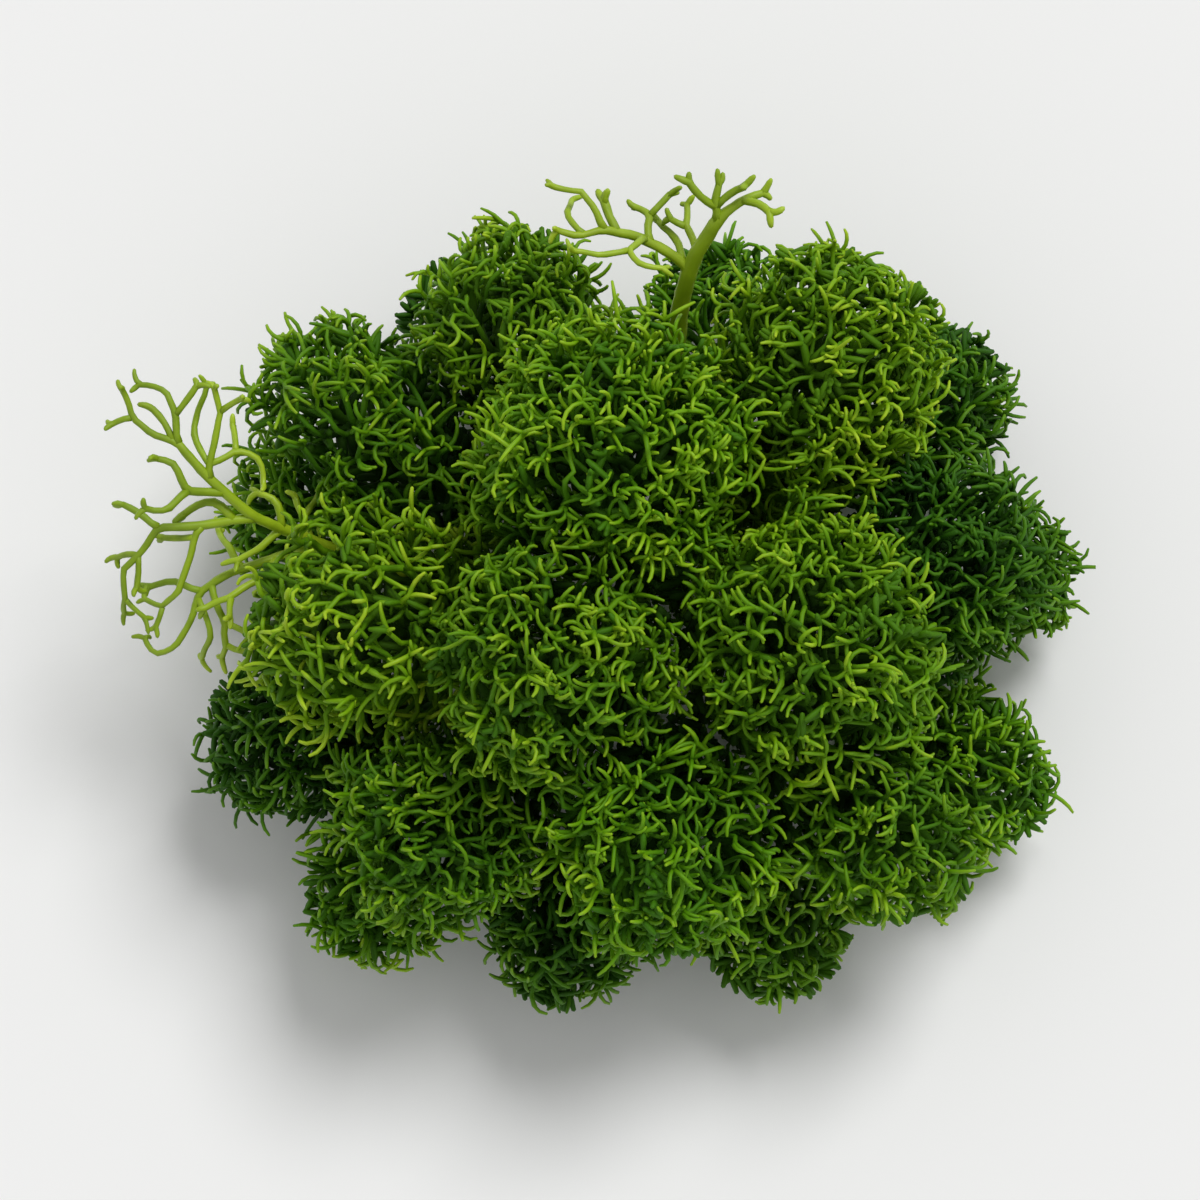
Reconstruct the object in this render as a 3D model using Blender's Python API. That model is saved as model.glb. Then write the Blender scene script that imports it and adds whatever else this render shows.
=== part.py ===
"""Reindeer moss clump: a harvested, dyed cushion of bushy lichen stems.

Every stem (podetium) grows from the same small patch and fans out to a rounded,
densely branched head, so the clump is a dome on a small flat spot of cut stem ends.
Two stems are open and antler-like instead of rounded. Each stem is one solid: a
tapered stalk with its cut end flat on the ground, and its head. Heads that press
against each other keep a narrow gap, on planes that all pass through one point
below the ground, which is where the stalks would meet.

Metres, +Z up, ground at z = 0.
"""

import math

import bmesh
import bpy
import numpy as np

MM = 0.001

# The clump
ROOT_DEPTH = 12.0  # mm below the ground of the point that all stalks aim at
SHIFT = (3.41, -1.205)  # mm, puts the origin under the middle of the clump's box
NEIGHBOUR_GAP = 0.5  # mm between two heads that press against each other
GROUND_GAP = 1.2  # mm under the lowest heads

# The heads: x, y and height of the middle, radius, stalk radius (all mm), colour.
# X runs to the right and Y to the back, seen from the front and above.
HEADS = {
    "crown_head": (-1.0, 13.5, 33.0, 17.5, 1.7, "leaf_green"),
    "middle_head": (-7.0, -6.5, 34.0, 15.5, 1.6, "moss_green"),
    "left_head": (-26.0, -1.5, 26.5, 15.0, 1.6, "lime_green"),
    "right_head": (18.5, -4.5, 30.5, 16.0, 1.6, "lime_green"),
    "front_left_head": (-19.0, -22.0, 22.0, 13.0, 1.5, "moss_green"),
    "front_head": (3.0, -23.5, 25.0, 14.0, 1.5, "leaf_green"),
    "front_right_head": (25.0, -21.5, 21.0, 12.5, 1.5, "moss_green"),
    "back_right_head": (19.0, 24.0, 27.5, 15.0, 1.6, "lime_green"),
    "back_head": (-12.0, 29.0, 24.5, 12.5, 1.5, "lime_green"),
    "back_left_head": (-29.0, 19.5, 22.0, 12.5, 1.5, "moss_green"),
    "side_right_head": (32.0, 5.5, 22.0, 12.5, 1.5, "deep_green"),
    "low_left_head": (-35.5, -11.0, 12.5, 10.5, 1.4, "deep_green"),
    "low_front_left_head": (-26.0, -26.0, 11.0, 9.8, 1.4, "leaf_green"),
    "low_front_head": (-7.0, -30.5, 11.0, 9.8, 1.4, "deep_green"),
    "low_front_right_head": (14.0, -30.0, 10.5, 9.8, 1.4, "moss_green"),
    "low_right_head": (34.0, -15.0, 11.0, 10.2, 1.4, "leaf_green"),
    "low_side_right_head": (37.0, 6.5, 10.5, 9.6, 1.4, "moss_green"),
    "low_back_right_head": (30.0, 24.0, 11.0, 10.0, 1.4, "deep_green"),
    "low_back_head": (8.0, 33.0, 10.5, 9.8, 1.4, "leaf_green"),
    "low_back_left_head": (-17.0, 32.0, 10.5, 9.8, 1.4, "deep_green"),
    "low_side_left_head": (-34.0, 13.0, 11.0, 10.0, 1.4, "leaf_green"),
}

# The open stems: the direction of the wedge that they keep clear, and how wide it is
# against a head's. Each twig is (name, start, points on the way ..., radius at the end).
SPRAYS = {
    "antler_spray": {
        "wedge": (-38.0, 9.0, 27.0),
        "width": 0.22,
        "colour": "pale_lime",
        "twigs": [
            ("stem", None, [(-12.5, 3.0, 0.0), (-22.0, 5.4, 10.8), (-31.0, 7.4, 20.0), (-37.5, 9.0, 27.6)], 1.6, 1.0),
            ("upper", "stem", [(-42.0, 12.4, 31.4), (-45.0, 15.6, 33.2)], 1.0, 0.75),
            ("upper_left", "upper", [(-48.6, 17.0, 33.6), (-51.2, 20.0, 34.0)], 0.75, 0.5),
            ("upper_back", "upper", [(-45.4, 19.2, 34.6), (-47.0, 22.6, 35.2)], 0.75, 0.5),
            ("inner", "upper@0", [(-41.4, 16.6, 33.2), (-40.4, 21.0, 34.0)], 0.75, 0.5),
            ("side", "stem", [(-43.0, 8.2, 28.4), (-47.2, 7.8, 29.2)], 0.95, 0.7),
            ("side_left", "side", [(-50.0, 10.0, 29.6), (-53.0, 10.6, 29.8)], 0.7, 0.5),
            ("side_front", "side", [(-49.4, 4.6, 28.6), (-52.6, 2.2, 28.2)], 0.7, 0.5),
            ("side_down", "side@0", [(-44.6, 4.0, 26.8), (-46.6, -0.4, 26.0)], 0.7, 0.5),
            ("front", "stem@2", [(-40.0, 4.6, 22.4), (-43.6, 2.6, 22.0)], 0.85, 0.65),
            ("front_left", "front", [(-47.6, 4.0, 21.6), (-50.8, 3.0, 21.0)], 0.65, 0.5),
            ("front_down", "front", [(-45.2, -1.6, 20.8), (-47.4, -4.8, 20.0)], 0.65, 0.5),
        ],
    },
    "bare_stem_spray": {
        "wedge": (5.0, 32.0, 29.0),
        "width": 0.25,
        "colour": "pale_lime",
        "twigs": [
            ("stem", None, [(1.4, 9.4, 0.0), (3.0, 19.0, 12.0), (4.2, 27.6, 23.6), (6.0, 33.2, 33.0), (9.0, 37.2, 38.4)], 1.8, 1.2),
            ("top", "stem", [(12.0, 39.4, 39.6), (15.4, 40.2, 39.2)], 1.1, 0.6),
            ("top_back", "stem", [(8.8, 39.6, 40.6), (9.8, 42.2, 41.6)], 0.9, 0.55),
            ("left", "stem@3", [(1.6, 35.8, 35.8), (-2.2, 36.4, 37.8)], 1.0, 0.7),
            ("left_far", "left", [(-5.4, 35.4, 38.8), (-8.4, 36.6, 39.2)], 0.7, 0.5),
            ("left_back", "left", [(-3.4, 39.2, 38.8), (-5.6, 41.6, 39.4)], 0.7, 0.5),
            ("left_up", "left@0", [(1.2, 34.8, 39.2), (-0.2, 32.8, 41.8)], 0.7, 0.5),
        ],
    },
}

# Dyed colours: linear red, green, blue
COLOURS = {
    "leaf_green": (0.045, 0.160, 0.008),
    "moss_green": (0.080, 0.185, 0.010),
    "lime_green": (0.140, 0.260, 0.012),
    "deep_green": (0.022, 0.105, 0.008),
    "pale_lime": (0.240, 0.340, 0.030),
}
ROUGHNESS = 0.55

HEAD_SIDES = 18
STALK_RINGS = 3
HEAD_RINGS = 11
TWIG_SIDES = 7

ROOT = np.array([0.0, 0.0, -ROOT_DEPTH])


def unit(v):
    v = np.asarray(v, float)
    return v / np.linalg.norm(v)


def frame_about(axis):
    """Two unit vectors square to the axis and to each other."""
    side = unit(np.cross(axis, (0.0, 1.0, 0.1)))
    return side, np.cross(axis, side)


def wedges():
    """For every stem, the planes through ROOT between it and each other stem, as
    outward normals. The planes split the angle between two stems by their widths."""
    axes = {name: unit(np.array(h[:3]) - ROOT) for name, h in HEADS.items()}
    widths = {name: h[3] / (np.linalg.norm(np.array(h[:3]) - ROOT)) for name, h in HEADS.items()}
    mean = sum(widths.values()) / len(widths)
    for name, spray in SPRAYS.items():
        axes[name] = unit(np.array(spray["wedge"]) - ROOT)
        widths[name] = spray["width"] * mean
    planes = {}
    for a, axis in axes.items():
        planes[a] = []
        for b, other in axes.items():
            if a == b:
                continue
            angle = math.acos(float(np.clip(axis @ other, -1.0, 1.0)))
            share = angle * widths[a] / (widths[a] + widths[b])
            towards = unit(other - (other @ axis) * axis)
            normal = math.cos(share) * towards - math.sin(share) * axis
            planes[a].append(normal)
    return axes, planes


def reach(point, direction, planes, floor):
    """How far a point may go in a direction and stay in its wedge, above the floor."""
    most = math.inf
    for normal in planes:
        speed = float(normal @ direction)
        if speed > 1e-6:
            room = -NEIGHBOUR_GAP / 2 - float(normal @ (point - ROOT))
            most = min(most, room / speed)
    if direction[2] < -1e-6:
        most = min(most, (point[2] - floor) / -direction[2])
    return max(most, 0.25)


def head_radius(along, middle, radius, below, above, phi, seed):
    """Radius of a lobed head at a distance along its axis."""
    reach_down = below if along < middle else above
    u = (along - middle) / reach_down
    if abs(u) >= 1.0:
        return 0.0
    lobes = (
        1.0
        + 0.075 * math.sin(3 * phi + seed) * math.cos(2.2 * u + seed)
        + 0.055 * math.sin(5 * phi + 2 * seed + 3 * u)
    )
    return radius * math.sqrt(1.0 - u * u) * lobes


def head_mesh(name, axes, planes):
    x, y, z, radius, stalk, _ = HEADS[name]
    centre = np.array([x, y, z])
    axis = axes[name]
    across, up = frame_about(axis)
    foot = ROOT - axis * ROOT[2] / axis[2]
    middle = float(np.linalg.norm(centre - foot))
    below = min(radius * 1.9, middle - 4.0)
    above = radius
    seed = 1.7 * (list(HEADS).index(name) + 1)

    neck = middle - below
    stations = list(np.linspace(0.0, neck, STALK_RINGS + 1))
    for i in range(1, HEAD_RINGS + 1):
        stations.append(middle - below * math.cos(math.pi / 2 * i / (HEAD_RINGS * 0.55))
                        if i < HEAD_RINGS * 0.55
                        else middle + above * math.sin(math.pi / 2 * (i - HEAD_RINGS * 0.55) / (HEAD_RINGS * 0.47)))
    top = middle + above * 1.02

    mesh = bmesh.new()
    rings = []
    for index, along in enumerate(stations):
        centre_here = foot + axis * along
        ring = []
        for side in range(HEAD_SIDES):
            phi = 2 * math.pi * side / HEAD_SIDES
            direction = math.cos(phi) * across + math.sin(phi) * up
            thin = stalk * (1.15 - 0.3 * along / top)
            want = max(thin, head_radius(along, middle, radius, below, above, phi, seed))
            if index == 0:
                # The cut end: the stalk meets the ground at a slant
                offset = direction - axis * direction[2] / axis[2]
                point = centre_here + offset * min(thin, reach(centre_here, offset, planes[name], -1.0))
                point[2] = 0.0
            else:
                floor = GROUND_GAP if index > 1 else 0.35
                point = centre_here + direction * min(want, reach(centre_here, direction, planes[name], floor))
            ring.append(mesh.verts.new(point))
        rings.append(ring)
    mesh.faces.new(reversed(rings[0]))
    for lower, upper in zip(rings, rings[1:]):
        for i in range(HEAD_SIDES):
            j = (i + 1) % HEAD_SIDES
            mesh.faces.new((lower[i], lower[j], upper[j], upper[i]))
    cap = mesh.verts.new(foot + axis * top)
    for i in range(HEAD_SIDES):
        mesh.faces.new((rings[-1][i], rings[-1][(i + 1) % HEAD_SIDES], cap))
    return mesh


def tube(points, start_radius, end_radius, sides, flat_start):
    """A tapered twig along a few points, with a rounded tip. With flat_start its
    first ring lies in the ground plane."""
    points = [np.array(p, float) for p in points]
    mesh = bmesh.new()
    rings = []
    count = len(points)
    for index, point in enumerate(points):
        before = points[max(index - 1, 0)]
        after = points[min(index + 1, count - 1)]
        axis = unit(after - before)
        across, up = frame_about(axis)
        radius = start_radius + (end_radius - start_radius) * index / (count - 1)
        ring = []
        for side in range(sides):
            phi = 2 * math.pi * side / sides
            direction = math.cos(phi) * across + math.sin(phi) * up
            if index == 0 and flat_start:
                direction = direction - axis * direction[2] / axis[2]
                corner = point + direction * radius
                corner[2] = point[2]
            else:
                corner = point + direction * radius
            ring.append(mesh.verts.new(corner))
        rings.append(ring)
    mesh.faces.new(reversed(rings[0]))
    for lower, upper in zip(rings, rings[1:]):
        for i in range(sides):
            j = (i + 1) % sides
            mesh.faces.new((lower[i], lower[j], upper[j], upper[i]))
    tip = mesh.verts.new(points[-1] + unit(points[-1] - points[-2]) * end_radius * 0.8)
    for i in range(sides):
        mesh.faces.new((rings[-1][i], rings[-1][(i + 1) % sides], tip))
    return mesh


def spray_points(twigs):
    """The full route of every twig, from inside the twig that it forks from."""
    routes = {}
    for name, parent, points, start, end in twigs:
        route = [np.array(p, float) for p in points]
        if parent:
            host, _, at = parent.partition("@")
            held = routes[host][0]
            # A named point counts the host's own points, without the one it starts at
            own = held if routes[host][3] is None else held[1:]
            begin = own[int(at)] if at else own[-1]
            inside = begin - unit(route[0] - begin) * 0.35
            route = [inside, *route]
        routes[name] = (route, start, end, parent)
    return routes


def material(name):
    made = bpy.data.materials.get(name)
    if made is None:
        made = bpy.data.materials.new(name)
        made.use_nodes = True
        shader = made.node_tree.nodes["Principled BSDF"]
        shader.inputs["Base Color"].default_value = (*COLOURS[name], 1.0)
        shader.inputs["Roughness"].default_value = ROUGHNESS
        shader.inputs["Metallic"].default_value = 0.0
    return made


def add_object(name, mesh, colour):
    """The mesh in mm, about the clump's own middle, as an object in metres."""
    data = bpy.data.meshes.new(name)
    bmesh.ops.recalc_face_normals(mesh, faces=mesh.faces)
    for vert in mesh.verts:
        vert.co.x = (vert.co.x + SHIFT[0]) * MM
        vert.co.y = (vert.co.y + SHIFT[1]) * MM
        vert.co.z = vert.co.z * MM
    mesh.to_mesh(data)
    mesh.free()
    data.materials.append(material(colour))
    data.shade_smooth()
    data.set_sharp_from_angle(angle=math.radians(50))
    made = bpy.data.objects.new(name, data)
    bpy.context.scene.collection.objects.link(made)
    return made


def add_spray(name, spray):
    """The stem with its forks joined to it."""
    made = None
    for twig, (route, start, end, parent) in spray_points(spray["twigs"]).items():
        piece = add_object(
            name if made is None else f"{name}.{twig}",
            tube(route, start, end, TWIG_SIDES, flat_start=parent is None),
            spray["colour"],
        )
        if made is None:
            made = piece
            continue
        piece.hide_render = True
        piece.display_type = "WIRE"
        join = made.modifiers.new(twig, "BOOLEAN")
        join.operation = "UNION"
        join.solver = "EXACT"
        join.object = piece
    return made


def build():
    for old in list(bpy.data.objects):
        bpy.data.objects.remove(old, do_unlink=True)
    axes, planes = wedges()
    for name, head in HEADS.items():
        add_object(name, head_mesh(name, axes, planes), head[5])
    for name, spray in SPRAYS.items():
        add_spray(name, spray)


build()
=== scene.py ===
"""The looks of a reindeer moss clump: every stem of the frame is grown into a real,
densely forked lichen stem that fills the same space, and gets a dyed-lichen material.

Lengths inside the growth code are millimetres.
"""

import math

import bpy
import numpy as np
from mathutils import Matrix, Vector, noise
from mathutils.bvhtree import BVHTree


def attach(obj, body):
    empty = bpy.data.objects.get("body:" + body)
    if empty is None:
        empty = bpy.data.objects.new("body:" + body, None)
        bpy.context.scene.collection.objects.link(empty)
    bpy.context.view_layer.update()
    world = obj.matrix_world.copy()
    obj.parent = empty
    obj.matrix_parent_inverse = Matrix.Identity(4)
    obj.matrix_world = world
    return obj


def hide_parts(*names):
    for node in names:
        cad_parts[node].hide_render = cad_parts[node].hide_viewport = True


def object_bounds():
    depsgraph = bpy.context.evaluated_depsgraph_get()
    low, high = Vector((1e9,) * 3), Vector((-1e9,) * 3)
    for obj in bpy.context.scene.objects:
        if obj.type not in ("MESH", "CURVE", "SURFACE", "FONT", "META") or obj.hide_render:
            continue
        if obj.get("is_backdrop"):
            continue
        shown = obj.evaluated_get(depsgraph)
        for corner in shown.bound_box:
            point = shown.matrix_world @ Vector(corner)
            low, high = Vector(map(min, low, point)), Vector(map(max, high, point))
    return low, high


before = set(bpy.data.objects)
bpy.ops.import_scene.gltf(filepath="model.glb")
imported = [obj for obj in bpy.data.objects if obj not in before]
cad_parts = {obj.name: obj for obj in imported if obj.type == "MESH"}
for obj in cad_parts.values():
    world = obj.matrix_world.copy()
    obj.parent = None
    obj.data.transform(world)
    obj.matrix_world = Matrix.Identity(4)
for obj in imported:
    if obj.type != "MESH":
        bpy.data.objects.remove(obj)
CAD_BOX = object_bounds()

MM = 0.001

# ---------------------------------------------------------------- what each stem is

# Colour of each head; how loose and antler-like it is, from 0 (tight fur) to 1 (open
# network of thicker twigs); and its tint, from 0 (green) to 1 (yellow).
HEADS = {
    "crown_head": ("leaf_green", 0.30, 0.55),
    "middle_head": ("moss_green", 0.35, 0.50),
    "left_head": ("lime_green", 0.85, 0.70),
    "right_head": ("lime_green", 0.50, 0.20),
    "front_left_head": ("moss_green", 0.30, 0.30),
    "front_head": ("leaf_green", 0.40, 0.20),
    "front_right_head": ("moss_green", 0.45, 0.40),
    "back_right_head": ("lime_green", 0.20, 0.80),
    "back_head": ("lime_green", 0.25, 0.60),
    "back_left_head": ("moss_green", 0.45, 0.45),
    "side_right_head": ("deep_green", 0.15, 0.40),
    "low_left_head": ("deep_green", 0.25, 0.50),
    "low_front_left_head": ("leaf_green", 0.30, 0.30),
    "low_front_head": ("deep_green", 0.30, 0.60),
    "low_front_right_head": ("moss_green", 0.30, 0.50),
    "low_right_head": ("leaf_green", 0.35, 0.40),
    "low_side_right_head": ("moss_green", 0.25, 0.40),
    "low_back_right_head": ("deep_green", 0.25, 0.50),
    "low_back_head": ("leaf_green", 0.35, 0.40),
    "low_back_left_head": ("deep_green", 0.25, 0.60),
    "low_side_left_head": ("leaf_green", 0.30, 0.50),
}

# The open stems: each limb is (name, where it starts, points, first and last radius).
# host@2 starts at the host's third point, host alone at its last.
SHIFT = (3.41, -1.205)
SPRAYS = {
    "antler_spray": [
        ("stem", None, [(-12.5, 3.0, 0.0), (-22.0, 5.4, 10.8), (-31.0, 7.4, 20.0), (-37.5, 9.0, 27.6)], 1.15, 0.52),
        ("upper", "stem", [(-42.0, 12.4, 31.4), (-45.0, 15.6, 33.2)], 0.58, 0.46),
        ("upper_left", "upper", [(-47.6, 16.6, 33.5), (-49.6, 18.2, 33.8)], 0.42, 0.34),
        ("upper_back", "upper", [(-45.3, 18.4, 34.2), (-46.2, 20.6, 34.8)], 0.42, 0.34),
        ("inner", "upper@0", [(-41.4, 16.0, 33.0), (-40.8, 18.8, 33.8)], 0.42, 0.34),
        ("side", "stem", [(-43.0, 8.2, 28.4), (-47.2, 7.8, 29.2)], 0.54, 0.44),
        ("side_left", "side", [(-49.2, 9.2, 29.5), (-50.9, 10.1, 29.7)], 0.40, 0.34),
        ("side_front", "side", [(-48.9, 5.6, 28.8), (-50.9, 3.6, 28.4)], 0.40, 0.34),
        ("side_down", "side@0", [(-44.4, 4.8, 27.2), (-45.6, 1.6, 26.4)], 0.40, 0.34),
        ("front", "stem@2", [(-40.0, 4.6, 22.4), (-43.6, 2.6, 22.0)], 0.52, 0.40),
        ("front_left", "front", [(-46.6, 3.6, 21.8), (-49.0, 3.1, 21.4)], 0.38, 0.34),
        ("front_down", "front", [(-44.8, -0.4, 21.1), (-46.3, -2.8, 20.6)], 0.38, 0.34),
    ],
    "bare_stem_spray": [
        ("stem", None, [(1.4, 9.4, 0.0), (3.0, 19.0, 12.0), (4.2, 27.6, 23.6), (6.0, 33.2, 33.0), (9.0, 37.2, 38.4)], 1.5, 0.70),
        ("top", "stem", [(11.6, 39.0, 39.5), (13.6, 39.8, 39.3)], 0.62, 0.38),
        ("top_back", "stem", [(8.9, 38.9, 40.2), (9.3, 40.4, 40.9)], 0.52, 0.36),
        ("left", "stem@3", [(1.6, 35.8, 35.8), (-2.2, 36.4, 37.8)], 0.60, 0.46),
        ("left_far", "left", [(-4.8, 35.7, 38.5), (-6.8, 36.1, 38.9)], 0.42, 0.34),
        ("left_back", "left", [(-3.2, 38.4, 38.5), (-4.6, 40.1, 38.9)], 0.42, 0.34),
        ("left_up", "left@0", [(1.3, 35.1, 38.4), (0.4, 33.8, 40.4)], 0.42, 0.34),
    ],
}

# How much lighter or darker than the others some of the heads are; the darkening of the side-right heads is painted
# shade of the crevice beside them
LIFT = {
    "crown_head": 0.06, "middle_head": 0.07, "left_head": 0.11, "right_head": 0.04, "front_head": 0.06,
    "side_right_head": -0.12, "low_side_right_head": -0.10, "low_left_head": -0.04,
}

TIP_RADIUS = 0.225
STEM_RADIUS = 0.95
FOOT_RADIUS = 1.15
STEP = 0.75
HIDDEN = 5.6  # depth under the canopy from which twigs are plain
MIDDLE = np.array([0.0, 0.0, 6.0])


# ---------------------------------------------------------------- the space to fill

def unit(v):
    return v / np.maximum(np.linalg.norm(v, axis=-1, keepdims=True), 1e-9)


def node_triangles(name):
    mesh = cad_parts[name].data
    mesh.calc_loop_triangles()
    points = np.empty(len(mesh.vertices) * 3, np.float32)
    mesh.vertices.foreach_get("co", points)
    faces = np.empty(len(mesh.loop_triangles) * 3, np.int32)
    mesh.loop_triangles.foreach_get("vertices", faces)
    return points.reshape(-1, 3).astype(float) / MM, faces.reshape(-1, 3)


def search_tree(points, faces):
    return BVHTree.FromPolygons([Vector(p) for p in points], faces.tolist())


def stacked(parts):
    points, faces, at = [], [], 0
    for p, f in parts:
        points.append(p)
        faces.append(f + at)
        at += len(p)
    return np.concatenate(points), np.concatenate(faces)


SOLIDS = {name: node_triangles(name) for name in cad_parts}
TREES = {name: search_tree(*solid) for name, solid in SOLIDS.items()}
WHOLE = search_tree(*stacked(SOLIDS.values()))
BOX = np.array([list(CAD_BOX[0]), list(CAD_BOX[1])]) / MM


def canopy():
    """The faces of the heads that look out of the clump, and not at a neighbour."""
    parts = []
    for name in HEADS:
        points, faces = SOLIDS[name]
        middles = points[faces].mean(1)
        normals = unit(np.cross(points[faces[:, 1]] - points[faces[:, 0]], points[faces[:, 2]] - points[faces[:, 0]]))
        free = [
            WHOLE.ray_cast(Vector(m + 0.05 * n), Vector(n), 7.0)[0] is None
            for m, n in zip(middles, normals)
        ]
        parts.append((points, faces[np.array(free)]))
    return search_tree(*stacked(parts))


CANOPY = canopy()


def openness(p):
    """How much of the sky outside the clump a point inside a head sees, 0 to 1."""
    out = unit(p - MIDDLE)
    side = unit(np.cross(out, (0.3, 0.2, 0.9)))
    up = np.cross(out, side)
    free = 0
    for k in range(5):
        lean = 0.0 if k == 0 else 0.8
        way = Vector(unit(out + lean * (math.cos(1.571 * k) * side + math.sin(1.571 * k) * up)))
        # The first wall met is the head's own, and a second is a neighbour's
        start, left, walls = Vector(p), 60.0, 0
        while walls < 2:
            hit, _, _, distance = WHOLE.ray_cast(start, way, left)
            if hit is None:
                break
            walls += 1
            start = hit + way * 0.01
            left -= distance
        free += walls < 2
    return free / 5


def lump(p, size, seed):
    return noise.noise(Vector((p[0] / size + seed, p[1] / size - seed, p[2] / size + 3.1 * seed)))


def crevice(p, size, seed):
    """1 on the border between two tufts of about this size, 0 well inside one."""
    near = noise.voronoi(Vector((p[0] / size + seed, p[1] / size, p[2] / size - seed)))[0]
    return max(0.0, 1.0 - (near[1] - near[0]) / 0.30)


def inside_points(name, grid, rng):
    """Points on a loose grid inside a solid, found along upright lines through it."""
    points, _ = SOLIDS[name]
    tree = TREES[name]
    low, high = points.min(0), points.max(0)
    up = Vector((0, 0, 1))
    found = []
    for x in np.arange(low[0], high[0], grid):
        for y in np.arange(low[1], high[1], grid):
            at = np.array((x, y)) + rng.uniform(-0.5, 0.5, 2) * grid
            start = Vector((at[0], at[1], low[2] - 1.0))
            walls = []
            while len(walls) < 8:
                hit, _, _, _ = tree.ray_cast(start, up)
                if hit is None:
                    break
                walls.append(hit.z)
                start = hit + up * 0.01
            for bottom, top in zip(walls[::2], walls[1::2]):
                count = int((top - bottom) / grid + rng.random())
                for z in bottom + (np.arange(count) + rng.random(count)) / max(count, 1) * (top - bottom):
                    found.append((at[0] + rng.uniform(-0.5, 0.5) * grid, at[1] + rng.uniform(-0.5, 0.5) * grid, z))
    return np.array(found)


def attractors(name, rng, loose):
    """Points in a head that its twigs grow towards, and how near a twig must come to
    each: many points close to the surface of the clump, few deep inside."""
    tree = TREES[name]
    seed = 0.37 * (1 + sorted(SOLIDS).index(name))
    cells = inside_points(name, 0.95 + 0.15 * loose, rng)
    luck = rng.random((len(cells), 2))
    kept, kills = [], []
    for p, (one, two) in zip(cells, luck):
        v = Vector(p)
        depth = CANOPY.find_nearest(v)[3] - 1.75
        if depth < 4.5:
            depth -= 3.0 * crevice(p, 8.5, seed) * (0.3 + 0.7 * (lump(p, 11.0, seed) > -0.1))
            depth -= 1.3 * max(0.0, lump(p, 4.5, seed + 5.0) * 1.7)
        if depth < 0 or one > math.exp(-depth / 3.0) + 0.26:
            continue
        where, normal, _, wall = tree.find_nearest(v)
        if wall < 0.35 or (v - where).dot(normal) >= 0:
            continue
        seen = openness(p) if depth < 8.0 else 0.0
        if two > 0.60 + 0.40 * min(1.0, seen * 1.6):
            continue
        kept.append(p)
        kills.append(0.875 + 0.50 * loose + 0.11 * depth + 0.30 * (1.0 - min(1.0, seen * 1.5)))
    return np.array(kept), np.minimum(np.array(kills), 1.8)


# ---------------------------------------------------------------- growth

def swirl(p, seed):
    """A slow, smooth field of directions, so that neighbouring twigs curl alike."""
    waves = np.random.default_rng(seed)
    total = np.zeros_like(p)
    for size, weight in ((4.2, 0.55), (9.0, 0.6)):
        k = unit(waves.normal(size=(3, 3))) * 2 * math.pi / size
        phase = waves.uniform(0, 2 * math.pi, 3)
        total += weight * np.sin(p @ k.T + phase)
    return total


def grow(P, parent, targets, kills, rng, seed, inertia=0.5, jitter=0.15, curl=0.48, turns=170):
    """Space colonisation: the tree's tips grow towards the targets and use them up."""
    P = np.array(P, float)
    parent = np.array(parent)
    way = np.zeros_like(P)
    children = np.full((len(P), 4, 3), 1e6)
    count = np.zeros(len(P), int)
    for i in range(len(P)):
        j = parent[i]
        if j >= 0:
            way[i] = unit(P[i] - P[j])
            children[j, min(count[j], 3)] = P[i]
            count[j] += 1
    A = np.array(targets)
    reach2 = np.array(kills) ** 2
    d2 = ((A[:, None, :] - P[None, :, :]) ** 2).sum(-1)
    near = d2.argmin(1)
    best = d2.min(1)
    for _ in range(turns):
        if not len(A):
            break
        toward = unit(A - P[near])
        total = np.stack([np.bincount(near, toward[:, k], minlength=len(P)) for k in range(3)], -1)
        nodes = np.nonzero(np.bincount(near, minlength=len(P)) > 0)[0]
        go = unit(total[nodes])
        go = unit(go + inertia * way[nodes] + jitter * rng.normal(size=go.shape) + curl * swirl(P[nodes], seed))
        new = P[nodes] + STEP * go
        gap = np.linalg.norm(children[nodes] - new[:, None, :], axis=-1).min(1)
        good = (gap > 0.6 * STEP) & (count[nodes] < 4)
        stuck = np.zeros(len(P), bool)
        stuck[nodes[~good]] = True
        keep = ~stuck[near]
        A, near, best, reach2 = A[keep], near[keep], best[keep], reach2[keep]
        nodes, go, new = nodes[good], go[good], new[good]
        if not len(nodes):
            continue
        start = len(P)
        children[nodes, count[nodes]] = new
        count[nodes] += 1
        P = np.vstack([P, new])
        way = np.vstack([way, go])
        parent = np.concatenate([parent, nodes])
        children = np.concatenate([children, np.full((len(new), 4, 3), 1e6)])
        count = np.concatenate([count, np.zeros(len(new), int)])
        if not len(A):
            break
        A4 = A.astype(np.float32)
        size = (A4 ** 2).sum(1)
        for at in range(0, len(new), 400):
            part = new[at:at + 400].astype(np.float32)
            d2 = size[:, None] + (part ** 2).sum(1)[None] - 2 * A4 @ part.T
            closest = d2.argmin(1)
            value = d2[np.arange(len(A)), closest]
            better = value < best
            near[better] = start + at + closest[better]
            best[better] = value[better]
        keep = best > reach2
        A, near, best, reach2 = A[keep], near[keep], best[keep], reach2[keep]
    return P, parent


def tree_facts(P, parent):
    """Each point's children, the way from it to its farthest tip, and its tips."""
    kids = [[] for _ in P]
    reach = np.zeros(len(P))
    leaves = np.zeros(len(P))
    for i in range(1, len(P)):
        kids[parent[i]].append(i)
    order = []
    stack = [0]
    while stack:
        i = stack.pop()
        order.append(i)
        stack.extend(kids[i])
    for i in reversed(order):
        if not kids[i]:
            leaves[i] = 1
        if i:
            j = parent[i]
            reach[j] = max(reach[j], reach[i] + np.linalg.norm(P[i] - P[j]))
            leaves[j] += leaves[i]
    return kids, reach, leaves


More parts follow.
